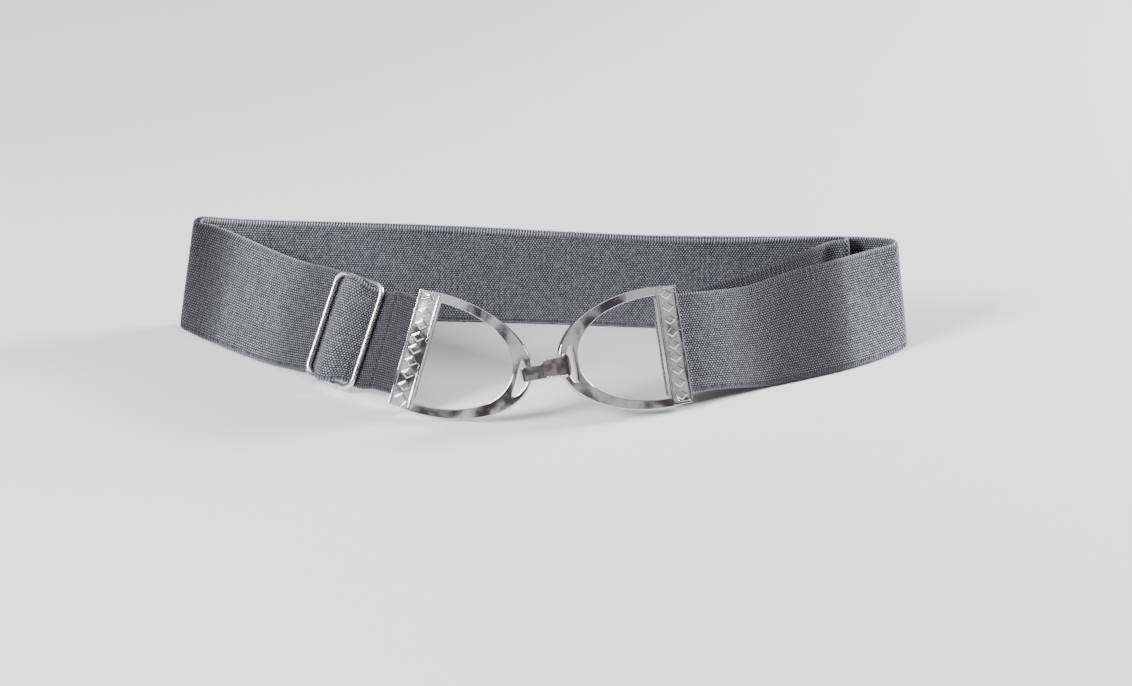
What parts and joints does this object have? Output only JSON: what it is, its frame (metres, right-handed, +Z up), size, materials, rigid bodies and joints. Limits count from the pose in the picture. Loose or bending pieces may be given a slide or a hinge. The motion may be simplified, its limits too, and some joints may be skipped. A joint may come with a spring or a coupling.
{
  "type": "elastic belt with a stirrup clasp",
  "caption": "Adjustable elastic webbing belt, closed and standing on its edge, with a wire slider and a clasp of D-shaped castings joined by a link plate.",
  "frame": {"origin": "middle of the belt's box, on the surface that its lower edge stands on", "axes": "+X along the long side of the loop, to the right as seen from the clasp's side; +Y from the clasp to the back of the loop; +Z up, across the webbing's width"},
  "size_m": [0.2528, 0.0954, 0.0391],
  "materials": {
    "webbing": "woven elastic, matt with a faint sheen",
    "clasp_metal": "polished",
    "wire_metal": "polished wire"
  },
  "bodies": {
    "root": {"webbing": "webbing", "stirrup_left": "clasp_metal", "stirrup_right": "clasp_metal", "slider": "wire_metal", "link_plate": "clasp_metal"}
  },
  "joints": []
}
